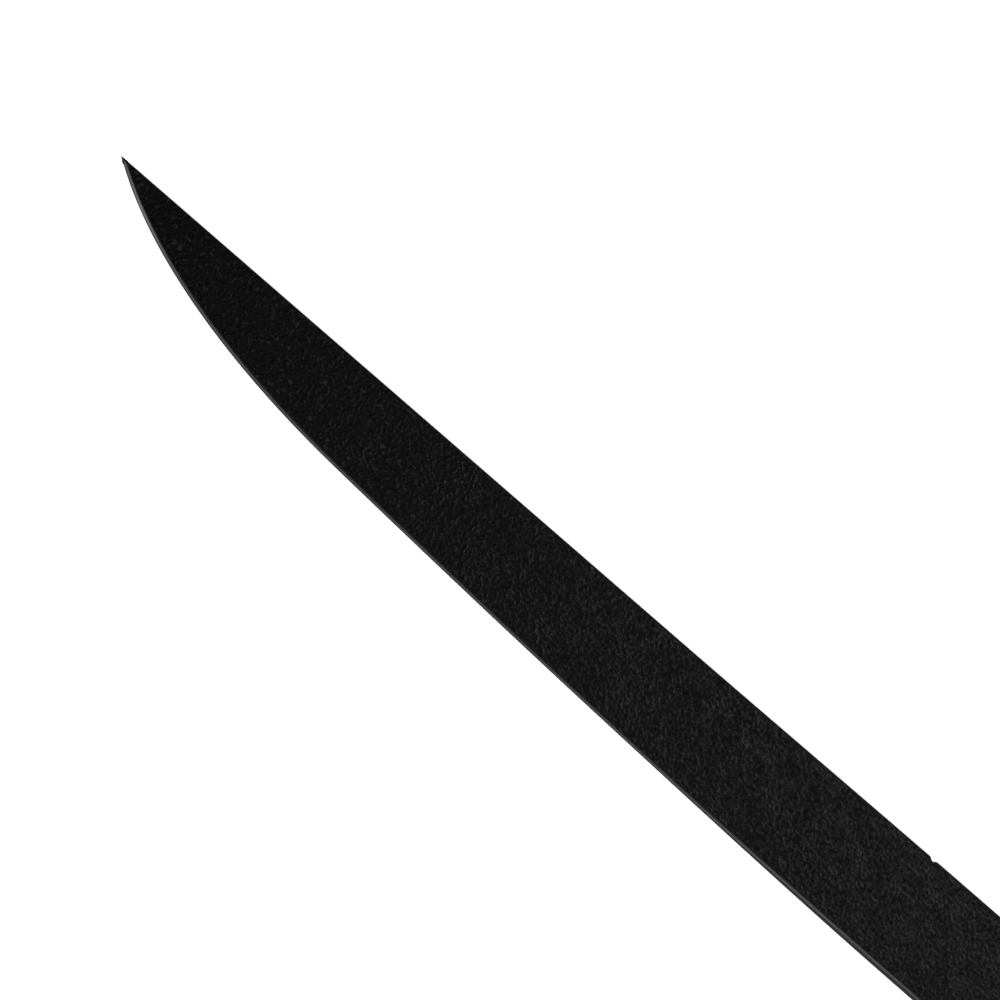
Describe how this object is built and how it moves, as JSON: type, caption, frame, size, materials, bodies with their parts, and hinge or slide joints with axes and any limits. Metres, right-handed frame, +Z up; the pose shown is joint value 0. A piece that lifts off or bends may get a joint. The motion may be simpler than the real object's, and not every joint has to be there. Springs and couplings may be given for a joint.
{
  "type": "bone folder",
  "caption": "Flat black moulded bone folder with a sharp knife-like point, straight spine, curved belly, thin bevelled blade, thicker grip and round butt.",
  "frame": {"origin": "under the middle of the folder, on the plane of the grip's flat underside", "axes": "+X from the point to the round butt, +Y from the curved belly to the straight spine, +Z up through the thickness"},
  "size_m": [0.2, 0.02, 0.0017],
  "materials": {
    "black_plastic": "fine spark-eroded moulding grain on the faces, smoother satin bevels"
  },
  "bodies": {
    "root": {"folder_body": "black_plastic"}
  },
  "joints": []
}
